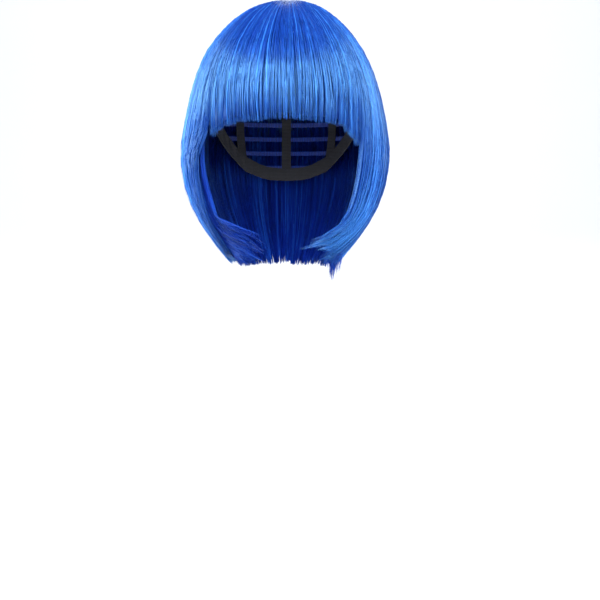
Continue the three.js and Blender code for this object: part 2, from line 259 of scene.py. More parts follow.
def section_at(sections, number):
    """The six columns of a section between two rows, on a smooth curve through the table."""
    last = len(sections) - 1
    row = np.clip(np.floor(number).astype(int), 0, last - 1)
    t = (number - row)[..., None]
    before, a, b, after = (sections[np.clip(row + step, 0, last)] for step in (-1, 0, 1, 2))
    bend = 2 * before - 5 * a + 4 * b - after + (3 * a - before - 3 * b + after) * t
    return a + 0.5 * t * (b - before + t * bend)


def oval_point(azimuth, columns, power=OVAL_POWER):
    """The point of a level oval at an azimuth in degrees."""
    x, y, z, side, front, back = np.moveaxis(columns, -1, 0)
    across = np.sin(np.radians(azimuth))
    ahead = np.cos(np.radians(azimuth))
    depth = np.where(ahead > 0, front, back)
    reach = (np.abs(across / side) ** power + np.abs(ahead / depth) ** power) ** (-1 / power)
    return np.stack([x + reach * across, y - reach * ahead, z + 0 * reach], -1)


def on_head_below(point, lift):
    """The point between the head's middle and a point of the hair that lies on the head, raised by lift."""
    middle = np.array([0, 0, -HEAD["height"]])
    out = point - middle
    depth = np.where(out[..., 1] < 0, HEAD["front"], HEAD["back"])
    sizes = np.stack([HEAD["side"] + lift, depth + lift, HEAD["height"] + lift], -1)
    return middle + out / np.linalg.norm(out / sizes, axis=-1, keepdims=True)


def hair_outside(azimuth, number):
    """The outer surface. Numbers from -1 to 0 lie between the whorl's middle and the first oval."""
    columns = section_at(OUTER_SECTIONS, np.maximum(number, 0))
    columns[..., 3:] *= np.clip(1 + number, 0.05, 1)[..., None]
    return oval_point(azimuth, columns)


def hair_inside(azimuth, number):
    """The inner surface. It lies on the cap down to the head's widest level and hangs free below it."""
    over_wefts = smoothstep(HAIR_LIFT["from"], HAIR_LIFT["to"], number)
    lift = HAIR_LIFT["over_crown"] + (HAIR_LIFT["over_wefts"] - HAIR_LIFT["over_crown"]) * over_wefts
    on_cap = on_head_below(hair_outside(azimuth, number), lift)
    below = np.maximum(number - FIRST_FREE_SECTION, 0)
    free = oval_point(azimuth, section_at(INNER_SECTIONS, below))
    share = smoothstep(0, 1, below)[..., None]
    return on_cap + (free - on_cap) * share


print("hair from", OUTER_SECTIONS[1, 2], "to", OUTER_SECTIONS[-1, 2], "mm")

# %% [markdown]
# Seven masses of hair make up the cut. The outer layer is the fringe, the two sides and the back, and the
# under layer hangs inside it. Each has its own limits round the head, and a table of where its tips end and
# how far they sweep round by then. On the wearer's left the face lock sweeps in under the chin. On the
# right it turns back a little, and the under layer curls in below the jaw.

# %% The seven masses of hair
OUTER = {"start": -0.8, "near": 0.0, "far": 0.42, "material": outer_fibre, "slot": "hair"}
UNDER = {"start": 6.8, "near": 0.7, "far": 1.0, "material": under_fibre_painted_shade, "slot": "under_hair"}
EVEN_BEND = (0, 1, 1.6)
LATE_BEND = (0, 1, 3)
EARLY_THEN_LATE_BEND = (0.36, 0.25, 3)
CURL_BEND = (0.6, 0.4, 1.5)

# Start is the section of the highest roots, and near and far are the depths that strands lie between, from 0
# at the outer surface to 1 at the inner one. Columns of tips: azimuth, section where the hair ends, section
# where it starts to sweep, sweep in degrees, rise in millimetres. The bend of a sweep is the share done
# early, by what share of the way, and a power for the rest.
MASSES = {
    "fringe": {
        **OUTER,
        "limits": (-43, 43),
        "bend": EVEN_BEND,
        "tips": [
            (-43, 8.7, 7, 0, 0),
            (-30, 8.25, 7, 0, 0),
            (0, 8.08, 7, 0, 0),
            (30, 8.3, 7, 0, 0),
            (43, 9.1, 7, 0, 0),
        ],
    },
    "side_right": {
        **OUTER,
        "limits": (-125, -43),
        "bend": EARLY_THEN_LATE_BEND,
        "tips": [
            (-125, 15.4, 8, 0, 0),
            (-90, 15.3, 8, -3, 0),
            (-60, 14.9, 8, -24, 0),
            (-43, 14.5, 8, -38, 0),
        ],
    },
    "side_left": {
        **OUTER,
        "limits": (43, 125),
        "bend": LATE_BEND,
        "tips": [
            (43, 13.7, 11.5, -38, 5),
            (60, 14.3, 11.5, -44, 3),
            (80, 15.1, 11.5, -44, 0),
            (100, 15.4, 11.5, -24, 0),
            (125, 15.4, 11.5, 0, 0),
        ],
    },
    "back": {
        **OUTER,
        "limits": (125, 235),
        "bend": EVEN_BEND,
        "tips": [(125, 15.4, 9, 0, 0), (180, 15.1, 9, 0, 0), (235, 15.4, 9, 0, 0)],
    },
    "under_right": {
        **UNDER,
        "limits": (-122, -56),
        "bend": CURL_BEND,
        "tips": [
            (-122, 16, 11.5, 10, 0),
            (-98, 15.8, 13.8, 52, 0),
            (-75, 15.2, 13.4, 53, 0),
            (-56, 13.3, 12, 45, 0),
        ],
    },
    "under_left": {
        **UNDER,
        "limits": (48, 122),
        "bend": EVEN_BEND,
        "tips": [
            (48, 13.7, 11, -15, 0),
            (60, 14.6, 11, -15, 0),
            (75, 15.6, 12, -18, 0),
            (95, 16, 12, -12, 0),
            (122, 16, 12, 0, 0),
        ],
    },
    "nape": {
        **UNDER,
        "limits": (122, 238),
        "bend": EVEN_BEND,
        "tips": [(122, 16, 10, 0, 0), (180, 15.8, 10, 0, 0), (238, 16, 10, 0, 0)],
    },
}
print("masses of hair:", ", ".join(MASSES))

# %% [markdown]
# Some small functions read these tables. They give where a tip ends, how far round the head the hair has
# swept by a section, and the point in space for an azimuth, a section and a depth below the outer surface.


# %% Place hair in a mass
END, SWEEP_FROM, SWEEP, RISE = 1, 2, 3, 4


def tip_of(mass, azimuth, column):
    """A column of a mass's table of tips at an azimuth."""
    table = np.array(mass["tips"])
    return np.interp(azimuth, table[:, 0], table[:, column])


def swept(mass, azimuth, number, end):
    """The azimuth that hair from a root has reached by a section."""
    start = tip_of(mass, azimuth, SWEEP_FROM)
    share = np.clip((number - start) / (end - start), 0, 1)
    early, early_by, power = mass["bend"]
    done = early * smoothstep(0, early_by, share) + (1 - early) * share**power
    return azimuth + tip_of(mass, azimuth, SWEEP) * done


def in_hair(azimuth, number, depth):
    """A point between the hair's outer surface, depth 0, and its inner one, depth 1, and the way out."""
    outer = hair_outside(azimuth, number)
    inner = hair_inside(azimuth, number)
    way_out = outer - inner
    way_out /= np.linalg.norm(way_out, axis=-1, keepdims=True)
    return outer + (inner - outer) * depth[..., None], way_out


def finish_piece(piece, material, replaced=()):
    """Gives a piece its material, smooth faces, its body and the solid that it stands for."""
    piece.data.materials.append(material)
    piece.data.shade_smooth()
    bpy.context.scene.collection.objects.link(piece)
    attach(piece, "root")
    if replaced:
        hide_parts(*replaced)
    return piece


# %% [markdown]
# A strand stands for a small bundle of fibres that lie together. The real hair has tens of thousands of
# fibres, too fine to see one by one, so bundles a little under a millimetre wide give the same streaks. Each
# is a closed three-sided tube of a few dozen faces that thins to a point. It is a little flatter than it is
# wide, as the fibre is after ironing. There are thousands, so they are joined in one mesh that is filled
# from arrays instead of being shaped one at a time. The strands lie side by side in the UV map, in four
# rows, so that each has its own place for baked colour.

# %% Strands as one mesh
CORNER_ANGLES = np.radians([90, 210, 330])
FLATNESS = 0.65
BAKE_ROWS = 4


def one_strand(stations):
    """The corners of each face of one tube, and the corner numbers at which its faces start."""
    rings = stations - 1
    quads = [
        (3 * i + c, 3 * i + (c + 1) % 3, 3 * (i + 1) + (c + 1) % 3, 3 * (i + 1) + c)
        for i in range(rings - 1)
        for c in range(3)
    ]
    tip = [(3 * (rings - 1) + c, 3 * (rings - 1) + (c + 1) % 3, 3 * rings) for c in range(3)]
    faces = quads + tip + [(2, 1, 0)]
    starts = np.cumsum([0] + [len(face) for face in faces[:-1]])
    return np.concatenate([np.array(face) for face in faces]), starts


def strand_mesh(name, line, way_out, half_width, tone, flow):
    """Joined tubes along the rows of line, an array of strands by stations by 3."""
    strands, stations = line.shape[:2]
    run = np.gradient(line, axis=1)
    run /= np.linalg.norm(run, axis=-1, keepdims=True)
    across = np.cross(run, way_out)
    across /= np.linalg.norm(across, axis=-1, keepdims=True)
    lift = np.cross(across, run)
    ring = (
        np.cos(CORNER_ANGLES)[:, None] * across[:, :-1, None]
        + np.sin(CORNER_ANGLES)[:, None] * lift[:, :-1, None] * FLATNESS
    )
    rings = line[:, :-1, None] + ring * half_width[:, :-1, None, None]
    corners = np.concatenate([rings.reshape(strands, -1, 3), line[:, -1:]], axis=1) * MM

    each = corners.shape[1]
    loops, starts = one_strand(stations)
    offset = np.arange(strands)[:, None]
    mesh = bpy.data.meshes.new(name)
    mesh.vertices.add(strands * each)
    mesh.vertices.foreach_set("co", corners.astype(np.float32).ravel())
    mesh.loops.add(strands * len(loops))
    mesh.loops.foreach_set("vertex_index", (loops + offset * each).astype(np.int32).ravel())
    mesh.polygons.add(strands * len(starts))
    mesh.polygons.foreach_set("loop_start", (starts + offset * len(loops)).astype(np.int32).ravel())

    # The tone and the flow of each station, for the material
    station_of = np.append(np.repeat(np.arange(stations - 1), 3), stations - 1)
    tones = mesh.attributes.new("tone", "FLOAT", "POINT")
    tones.data.foreach_set("value", tone[:, station_of].astype(np.float32).ravel())
    flows = mesh.attributes.new("flow", "FLOAT_VECTOR", "POINT")
    flows.data.foreach_set("vector", flow[:, station_of].astype(np.float32).ravel())

    # The UV map, a narrow upright strip for each strand
    columns = math.ceil(strands / BAKE_ROWS)
    corner_of = np.append(np.tile([0.1, 0.5, 0.9], stations - 1), 0.5)[loops]
    along = (station_of / (stations - 1))[loops]
    u = (offset % columns + corner_of) / columns
    v = (offset // columns + 0.02 + 0.96 * along) / BAKE_ROWS
    layer = mesh.uv_layers.new(name="OFBake")
    layer.uv.foreach_set("vector", np.stack([u, v], -1).astype(np.float32).ravel())
    mesh.update(calc_edges=True)
    mesh.validate()
    return mesh


# %% [markdown]
# Combing gives each strand its line. Strands lie together in wisps under a millimetre wide, and wisps lie in
# locks of a few millimetres, as fibres do that were cut and ironed together. Whole wisps wander, wave and
# shine as one, which leaves clean lines, and only a little looseness is each strand's own. Locks stand
# proud along their middle, wisps draw together towards the tips, and all of them end at uneven lengths.
# Strands lie at different depths, so the upper ones shade the lower ones. At the whorl they come up out of
# the cap one behind the other, and lie flat there. One wisp in six lies a little higher, so it catches the
# light as a fine bright line, and its tone is made lighter as a painted highlight along that line. A few
# strands stray out of the mass.


# %% Comb the strands
# Millimetres that the hair lies lower at the whorl, and sections in which a root comes up out of the cap
WHORL_DROP = 1.0
ROOT_REACH = 0.8
# Degrees that a lock, a wisp and a strand sway to each side, and millimetres that strands and wisps lift
SWAY = {"lock": 0.45, "wisp": 0.45, "strand": 0.14}
STRAND_LIFT = 0.15
WISP_LIFT = 0.3
LIGHT_WISP_LIFT = 0.3
# How far the tone, from 0 for deep to 1 for light, differs from its middle. The lighter tone of the raised
# wisps is a painted highlight.
TONE = {"middle": 0.42, "lock": 0.07, "wisp": 0.2, "strand": 0.08, "painted_highlight_wisp": 0.3}
MM_PER_DEGREE = 1.6
# A high power, so that only the last part of a lock rises
RISE_POWER = 6


def lock_limits(low, high, width, rng):
    """Limits of locks of uneven width between two azimuths."""
    widths = width * rng.uniform(0.45, 1.55, int(2 * (high - low) / width) + 4)
    limits = low + np.concatenate([[0], np.cumsum(widths)])
    return np.append(limits[limits < high - 0.3 * width], high)


def by_azimuth(table, azimuth):
    """A column of values read from a table of azimuths and values."""
    return np.interp(azimuth, *np.transpose(table))[:, None]


def comb(
    mass,
    count,
    stations,
    seed,
    lock_width=5.0,
    wisp_width=0.65,
    pinch=0.2,
    wisp_pinch=0.5,
    ragged=0.25,
    lock_ragged=0.5,
    relief=0.5,
    lock_wave=1.2,
    ripple=0.5,
    tip_bend=2.5,
    half_width=0.32,
    root_spread=4.3,
    stray=0.015,
    stray_reach=3.0,
    taper_from=0.8,
    point=0.025,
    sweep_spread=0.12,
    light_share=0.16,
    painted_tip_highlight=0,
    shade=((0, 0), (1, 0)),
    turn_in=((0, 0), (1, 0)),
):
    """Lines, ways out, half-widths, tones and flow of the strands of one mass.

    Widths of locks and wisps are in degrees, and pinches are the shares by which they draw together.
    Ragged is how far ends fall short, in sections, and root_spread is how many sections the roots are
    spread over. Relief, lock_wave, ripple, tip_bend, half_width and stray_reach are in millimetres. Stray
    and light_share are shares of all strands and wisps. Taper_from and point are shares of a strand's
    length. Shade is a tone by azimuth, painted shade where it darkens the hair and painted light where it
    lightens it. The tone added at the tips is a painted highlight. Turn_in is a bend inwards of the tips
    in millimetres, by azimuth.
    """
    rng = np.random.default_rng(seed)

    # Roots along the mass, and the lock and wisp that each belongs to
    low, high = mass["limits"]
    root = low + (high - low) * (np.arange(count) + rng.random(count)) / count
    limits = lock_limits(low, high, lock_width, rng)
    lock = np.clip(np.searchsorted(limits, root) - 1, 0, len(limits) - 2)
    middle = (limits[lock] + limits[lock + 1]) / 2
    off_middle = (root - middle) / (limits[lock + 1] - limits[lock]) * 2
    wisp_limits = lock_limits(low, high, wisp_width, rng)
    wisp = np.clip(np.searchsorted(wisp_limits, root) - 1, 0, len(wisp_limits) - 2)
    wisp_middle = (wisp_limits[wisp] + wisp_limits[wisp + 1]) / 2

    def per_lock(low, high):
        return rng.uniform(low, high, len(limits))[lock][:, None]

    def per_wisp(low, high):
        return rng.uniform(low, high, len(wisp_limits))[wisp][:, None]

    def per_strand(low, high):
        return rng.uniform(low, high, count)[:, None]

    # Where each strand starts and ends, and the sections that it passes
    rank = rng.random(count)
    whole_end = tip_of(mass, root, END)[:, None]
    end = whole_end - ragged * (per_strand(0, 1) ** 2 + lock_ragged * (per_lock(0, 1) + per_wisp(0, 1)))
    start = mass["start"] + root_spread * rank[:, None] ** 0.5 * per_strand(0.7, 1)
    share = np.append(np.linspace(0, 1, stations - 1) ** 0.9 * (1 - point), 1)
    number = start + (end - start) * share

    # The way round the head: swaying with the lock and wisp, drawn to their middles, and swept
    drawn = smoothstep(0.45, 1, share)
    wisp_drawn = 0.3 * smoothstep(0.02, 0.15, share) + (wisp_pinch - 0.3) * drawn
    sway = SWAY["lock"] * np.sin(math.tau * (0.7 * share + per_lock(0, 1)))
    wander = SWAY["wisp"] * np.sin(math.tau * (1.3 * share * per_wisp(0.6, 1.4) + per_wisp(0, 1)))
    loose = SWAY["strand"] * np.sin(math.tau * (1.3 * share * per_strand(0.6, 1.4) + per_strand(0, 1)))
    azimuth = root[:, None] + (sway + wander + loose) * smoothstep(0.1, 1, share)
    azimuth = azimuth - (root - middle)[:, None] * drawn * pinch
    azimuth = azimuth - (root - wisp_middle)[:, None] * wisp_drawn
    way_round = swept(mass, azimuth, number, whole_end) - azimuth
    azimuth = azimuth + way_round * per_wisp(1 - sweep_spread, 1 + sweep_spread / 2) * per_strand(0.95, 1)

    # The depth in the mass: roots come up from the cap
    depth = mass["near"] + (mass["far"] - mass["near"]) * rank[:, None] ** 1.3
    depth = depth + (1 - depth) * (1 - smoothstep(0, ROOT_REACH, number - start))
    line, way_out = in_hair(azimuth, number, depth)

    # Height over that: proud locks, higher wisps, waves, bent tips, and the few that stray
    light = per_wisp(0, 1) > 1 - light_share
    raised = relief * (1 - off_middle[:, None] ** 2) * per_lock(0.6, 1.4) * smoothstep(1.5, 6, number)
    raised = raised - relief + per_strand(-STRAND_LIFT, STRAND_LIFT)
    raised = raised + (per_wisp(-WISP_LIFT, WISP_LIFT) + LIGHT_WISP_LIFT * light) * smoothstep(1, 5, number)
    lock_waves = np.sin(math.tau * (share * per_lock(1, 1.8) + per_lock(0, 1)))
    raised = raised + lock_wave * per_lock(0.2, 1) * lock_waves * smoothstep(3, 8, number)
    waves = np.sin(math.tau * (share * per_wisp(2, 4) + per_wisp(0, 1) + per_strand(0, 0.1)))
    raised = raised + ripple * per_wisp(0.2, 1) * waves * smoothstep(2, 7, number)
    bend = 0.5 * per_lock(-1, 1) + 0.5 * per_wisp(-1, 1)
    raised = raised + tip_bend * bend * smoothstep(0.7, 1, share)
    raised = raised - WHORL_DROP * (1 - smoothstep(0.5, 3, number))
    raised = raised - by_azimuth(turn_in, root) * smoothstep(0.6, 1, share)
    astray = (rng.random(count) < stray)[:, None] * per_strand(-0.3, 1) * stray_reach
    line = line + way_out * (raised + astray * share**2)[..., None]
    line[..., 2] += tip_of(mass, root, RISE)[:, None] * share**RISE_POWER

    # Width, tone, and the flow that the material's streaks follow
    width = half_width * per_strand(0.75, 1.25) * (0.45 + 0.55 * smoothstep(0, 3, number))
    width = width * (1 - 0.7 * smoothstep(taper_from, 1, share)) * np.where(astray != 0, 0.6, 1)
    tone = TONE["middle"] + TONE["strand"] * rng.standard_normal((count, 1))
    tone = tone + per_wisp(-TONE["wisp"], TONE["wisp"]) + per_lock(-TONE["lock"], TONE["lock"])
    # Tone added by azimuth is painted shade where it darkens and painted light where it lightens.
    tone = tone + TONE["painted_highlight_wisp"] * light + by_azimuth(shade, root)
    # The tips get a painted highlight: their tone rises towards the ends.
    tone = np.clip(tone + painted_tip_highlight * smoothstep(0.7, 0.95, share), 0.02, 0.98)
    length = np.cumsum(np.linalg.norm(np.diff(line, axis=1, prepend=line[:, :1]), axis=-1), axis=1)
    flow = np.stack([root[:, None] * MM_PER_DEGREE + 0 * length, length, per_strand(0, 50) + 0 * length], -1)
    return line, way_out, width, tone, flow


print("hair falls by up to", WHORL_DROP, "mm at the whorl")

# %% [markdown]
# Each mass is combed in its own way. The fringe was cut with one straight stroke and curved with a brush, so
# its ends are even, its locks are narrow, and its corners turn in towards the temples, with painted shade on
# those corners. The side locks end more loosely, and parts of them get painted shade and painted light as the
# photograph has them: the right lock has painted shade where it meets the fringe, and the left one a painted
# highlight on its way in under the chin and at its tips. The under layer and the nape are combed less and end
# more unevenly.

# %% The strands of each mass
COMBING = {
    "fringe": dict(
        count=3000,
        stations=11,
        seed=11,
        lock_width=3.2,
        pinch=0.17,
        wisp_pinch=0.35,
        ragged=0.1,
        lock_ragged=0.6,
        relief=0.35,
        lock_wave=0.9,
        ripple=0.35,
        half_width=0.3,
        taper_from=0.93,
        point=0.012,
        # Painted shade on the fringe's corners, where they meet the sides.
        shade=((-43, -0.3), (-30, -0.15), (-15, 0), (15, 0), (30, -0.1), (43, -0.2)),
        turn_in=((-43, 4.5), (-28, 3.5), (-12, 0.8), (0, 0.4), (15, 0.8), (30, 2.5), (43, 4)),
    ),
    "side_right": dict(
        count=2050,
        stations=16,
        seed=12,
        ragged=0.6,
        relief=0.7,
        lock_wave=0.8,
        ripple=0.22,
        half_width=0.36,
        painted_tip_highlight=0.1,
        # Painted light on the outer side of the lock and painted shade where it meets the fringe.
        shade=((-125, 0.1), (-85, 0.3), (-66, 0.2), (-56, -0.1), (-48, -0.35), (-43, -0.4)),
    ),
    "side_left": dict(
        count=2050,
        stations=16,
        seed=13,
        ragged=0.6,
        relief=0.7,
        lock_wave=0.8,
        ripple=0.22,
        half_width=0.36,
        painted_tip_highlight=0.3,
        # Painted light along the lock that sweeps in under the chin, and painted shade beside it.
        shade=(
            (43, -0.2),
            (50, -0.05),
            (58, 0.25),
            (64, 0.15),
            (70, -0.3),
            (82, -0.25),
            (92, 0.1),
            (125, 0),
        ),
    ),
    "back": dict(
        count=1800,
        stations=15,
        seed=14,
        pinch=0.1,
        wisp_pinch=0.3,
        ragged=0.7,
        lock_ragged=0.2,
        relief=0.9,
        half_width=0.42,
    ),
    "under_right": dict(
        count=1100, stations=14, seed=15, ragged=0.7, root_spread=0.6, half_width=0.36, sweep_spread=0.35
    ),
    "under_left": dict(
        count=1000, stations=14, seed=16, ragged=0.9, root_spread=0.6, half_width=0.36, sweep_spread=0.3
    ),
    "nape": dict(
        count=1600,
        stations=12,
        seed=17,
        lock_width=8.0,
        wisp_width=0.9,
        pinch=0.05,
        wisp_pinch=0.15,
        ragged=0.7,
        lock_ragged=0.3,
        tip_bend=1.6,
        root_spread=2.8,
        half_width=0.4,
        taper_from=0.9,
    ),
}

for name, settings in COMBING.items():
    mass = MASSES[name]
    piece_name = name + "_strands"
    strands = bpy.data.objects.new(piece_name, strand_mesh(piece_name, *comb(mass, **settings)))
    finish_piece(strands, mass["material"], [name + "_hair"])
    triangles = sum(len(face.vertices) - 2 for face in strands.data.polygons)
    print(piece_name, settings["count"], "strands,", triangles, "triangles")

# %% [markdown]
# A few wisps at the wearer's left were missed by the scissors and hang below the hem. They are combed in the
# same way, in a narrow mass of their own, with strong pinching so that they part into spikes. Their rise is
# below zero, so they reach down past the other tips.

# %% Wisps below the hem
FLICK = {
    "start": 11,
    "near": 0.5,
    "far": 0.8,
    "material": under_fibre_painted_shade,
    "slot": "under_hair",
    "limits": (60, 84),
    "bend": EVEN_BEND,
    "tips": [(60, 15.2, 11, -8, -8), (70, 16, 11, -8, -14), (84, 15.6, 11, -4, -6)],
}
flick_lines = comb(
    FLICK,
    count=260,
    stations=12,
    seed=25,
    lock_width=4,
    wisp_width=1.6,
    wisp_pinch=0.8,
    ragged=1.3,
    tip_bend=5,
)
flicks = bpy.data.objects.new("hem_wisps", strand_mesh("hem_wisps", *flick_lines))
finish_piece(flicks, FLICK["material"])
print("wisps below the hem:", len(flick_lines[0]))

# %% [markdown]
# Under the strands lies a thin sheet that stands for the hair deeper in the mass, so that no light comes
# through. It is a grid bent to the same form and given its thickness. It ends short of the tips, so that
# only strands make the hem, and near the whorl it lies deep, so that only strands make the parting.


# %% Sheets of deeper hair
def bent_grid(name, columns, rows, place):
    """A grid whose corners are put in place by their shares across and down."""
    grid = bmesh.new()
    bmesh.ops.create_grid(grid, x_segments=columns, y_segments=rows, size=0.5)
    mesh = bpy.data.meshes.new(name)
    grid.to_mesh(mesh)
    grid.free()
    corners = np.empty(len(mesh.vertices) * 3, np.float32)
    mesh.vertices.foreach_get("co", corners)
    across, down = corners.reshape(-1, 3)[:, 0] + 0.5, corners.reshape(-1, 3)[:, 1] + 0.5
    points, flow = place(across.astype(float), down.astype(float))
    mesh.vertices.foreach_set("co", (points * MM).astype(np.float32).ravel())
    flows = mesh.attributes.new("flow", "FLOAT_VECTOR", "POINT")
    flows.data.foreach_set("vector", flow.astype(np.float32).ravel())
    mesh.update()
    return mesh


def face_outwards(mesh):
    """Turns a sheet's faces away from the head's middle."""
    sheet = bmesh.new()
    sheet.from_mesh(mesh)
    middle = Vector((0, 0, -HEAD["height"] * MM))
    facing = [face.normal.dot(face.calc_center_median() - middle) * face.calc_area() for face in sheet.faces]
    if sum(facing) < 0:
        bmesh.ops.reverse_faces(sheet, faces=sheet.faces[:])
    sheet.to_mesh(mesh)
    sheet.free()


# Limits round the head in degrees, and how many sections the sheet ends short of the tips
SHELLS = {
    "fringe": (-43, 43, 0.3),
    "side_right": (-125, -48, 2.2),
    "side_left": (48, 125, 2.6),
    "back": (125, 235, 0.8),
}
SHELL_START = 1.3
SHELL_DEPTH = 0.45
SHELL_DEPTH_AT_WHORL = 0.95
SHELL_WALL_MM = 0.8
SHELL_TONE = 0.4
SHELL_COLUMNS = 40
SHELL_ROWS = 24
MM_PER_SECTION = 20

for name, (low, high, short_by) in SHELLS.items():

    def place(across, down, mass=MASSES[name], low=low, high=high, short_by=short_by):
        root = low + (high - low) * across
        end = tip_of(mass, root, END)
        number = SHELL_START + (end - short_by - SHELL_START) * down
        azimuth = swept(mass, root, number, end)
        depth = SHELL_DEPTH + (SHELL_DEPTH_AT_WHORL - SHELL_DEPTH) * (1 - smoothstep(2, 6, number))
        points, _ = in_hair(azimuth, number, depth)
        return points, np.stack([root * MM_PER_DEGREE, number * MM_PER_SECTION, 0 * root], -1)

    mesh = bent_grid(name + "_shell", SHELL_COLUMNS, SHELL_ROWS, place)
    face_outwards(mesh)
    tones = mesh.attributes.new("tone", "FLOAT", "POINT")
    tones.data.foreach_set("value", np.full(len(mesh.vertices), SHELL_TONE))
    shell = bpy.data.objects.new(name + "_shell", mesh)
    # The sheet's darker colours are painted shade, for hair deep in the mass that gets little light.
    finish_piece(shell, shell_fibre_painted_shade)
    wall = shell.modifiers.new("wall", "SOLIDIFY")
    wall.thickness = SHELL_WALL_MM * MM
    wall.offset = -1
print("shells:", len(SHELLS))

# %% [markdown]
# The cap that carries the hair is cheap and light: a knitted stretch net over the crown, woven elastic for
# its edge and ribbons, and rows of weft. The solid model already has these shapes, so here they get their
# finishes. Colour and height both follow one pattern, as they do where threads stand over gaps. A little
# sheen stands for the loose fibres that catch the light at the edge of a cloth.


# %% Cloths of the cap
def cloth(name, pattern, gap, thread, roughness, relief_mm):
    """A cloth whose colour and height follow a pattern from 0 in the gaps to 1 on the threads."""
    material, tree, output = new_material(name)
    place = add_node(tree, "ShaderNodeTexCoord").outputs["Object"]
    height = pattern(tree, place)
    ramp = add_node(tree, "ShaderNodeValToRGB", inputs={"Fac": height})
    ramp.color_ramp.elements[0].color = linear(gap)
    ramp.color_ramp.elements[1].color = linear(thread)
    bump = add_node(
        tree, "ShaderNodeBump", inputs={"Height": height, "Strength": 0.8, "Distance": relief_mm * MM}
    )
    shader = add_node(
        tree,
        "ShaderNodeBsdfPrincipled",
        inputs={
            "Base Color": ramp.outputs["Color"],
            "Roughness": roughness,
            "IOR": 1.5,
            "Sheen Weight": 0.25,
            "Sheen Roughness": 0.5,
            "Normal": bump.outputs["Normal"],
        },
    )
    tree.links.new(shader.outputs["BSDF"], output.inputs["Surface"])
    return material


# %% [markdown]
# Polyester net is knitted with holes of about 1.5 mm, drawn 3 mm here to show. A Voronoi pattern gives the
# distance to the nearest edge of a cell, and what lies close to an edge is thread.

# %% Stretch net
NET_CELL_MM = 3.0


def net_pattern(tree, place):
    """Threads along the edges of uneven cells."""
    cells = add_node(
        tree,
        "ShaderNodeTexVoronoi",
        {"feature": "DISTANCE_TO_EDGE"},
        {"Vector": place, "Scale": 1 / (NET_CELL_MM * MM), "Randomness": 0.55},
    )
    threads = add_node(
        tree,
        "ShaderNodeMapRange",
        {"interpolation_type": "SMOOTHSTEP"},
        {
            "Value": cells.outputs["Distance"],
            "From Min": 0.06,
            "From Max": 0.2,
            "To Min": 1.0,
            "To Max": 0.0,
        },
    )
    return threads.outputs["Result"]


stretch_net = cloth("polyester_stretch_net", net_pattern, "#03061c", "#1d2136", 0.8, 0.4)
print("net:", stretch_net.name)

# %% [markdown]
# Elastic is woven over rubber cords that lie side by side, which leaves fine ribs 0.8 mm apart, drawn
# 1.4 mm here. The ribs lie level in the band and across the ribbons, so a wave that runs upwards gives
# both. A little noise keeps them from looking ruled.

# %% Woven elastic
RIB_PITCH_MM = 1.4
WAVE_PERIOD = math.tau / 20


def rib_pattern(tree, place):
    """Level ribs with a slight waver."""
    ribs = add_node(
        tree,
        "ShaderNodeTexWave",
        {"bands_direction": "Z"},
        {
            "Vector": place,
            "Scale": WAVE_PERIOD / (RIB_PITCH_MM * MM),
            "Distortion": 1.2,
            "Detail": 2.0,
            "Detail Scale": 1.5,
        },
    )
    return ribs.outputs["Fac"]


elastic = cloth("woven_elastic", rib_pattern, "#0a0b12", "#24262f", 0.75, 0.25)
print("elastic:", elastic.name)

# %% [markdown]
# A weft is a curtain of fibres laid side by side and sewn across, so its strip shows the fibre ends as fine
# upright streaks. The angle round the head, from a radial gradient, drives the streaks.

# %% Weft strips
WEFT_STREAK_MM = 0.8
CAP_GIRTH_MM = 540


def fibre_end_pattern(tree, place):
    """Upright streaks round the head."""
    angle = add_node(tree, "ShaderNodeTexGradient", {"gradient_type": "RADIAL"}, {"Vector": place})
    streaks = add_node(
        tree,
        "ShaderNodeTexNoise",
        {"noise_dimensions": "1D"},
        {"W": angle.outputs["Fac"], "Scale": CAP_GIRTH_MM / WEFT_STREAK_MM, "Detail": 2.0},
    )
    spread = add_node(
        tree, "ShaderNodeMapRange", inputs={"Value": streaks.outputs["Fac"], "From Min": 0.3, "From Max": 0.7}
    )
    return spread.outputs["Result"]


weft_fibre = cloth("weft_of_modacrylic", fibre_end_pattern, "#04104c", "#1848c0", 0.5, 0.3)
print("weft:", weft_fibre.name)

# %% [markdown]
# The whorl is a patch of soft film, skin-toned, so that it passes for the scalp where the hair parts. Each
# fibre is tied through it, and the knots show as small blue dots about 2 mm apart.

# %% Film of the crown patch
KNOT_PITCH_MM = 2.0


def knot_pattern(tree, place):
    """Small dots in uneven rows."""
    knots = add_node(
        tree,
        "ShaderNodeTexVoronoi",
        inputs={"Vector": place, "Scale": 1 / (KNOT_PITCH_MM * MM), "Randomness": 0.5},
    )
    dots = add_node(
        tree,
        "ShaderNodeMapRange",
        {"interpolation_type": "SMOOTHSTEP"},
        {"Value": knots.outputs["Distance"], "From Min": 0.12, "From Max": 0.3},
    )
    return dots.outputs["Result"]


patch_film = cloth("polyurethane_film", knot_pattern, "#3c58a8", "#bba29f", 0.55, 0.1)
print("patch:", patch_film.name)

# %% [markdown]
# Each piece of the cap keeps the shape that it has in the solid model, and gets its cloth or film by the
# start of its name.

# %% Finish the cap
CAP_FINISHES = {
    "crown_net": stretch_net,
    "crown_patch": patch_film,
    "cap_band": elastic,
    "ribbon": elastic,
    "weft_row": weft_fibre,
}

for kind, finish in CAP_FINISHES.items():
    pieces = [node for name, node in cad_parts.items() if name.startswith(kind)]
    for piece in pieces:
        piece.data.materials.clear()
        piece.data.materials.append(finish)
    print(kind, len(pieces), "in", finish.name)

# %% [markdown]
# Rows of weft are sewn on with a zigzag stitch. The thread is polyester of 0.3 mm, drawn at 0.7 mm. It
# follows the cap, which is an ellipsoid with a skirt that narrows, the same as in the solid model. All the
# stitches are one mesh, made as the strands are.

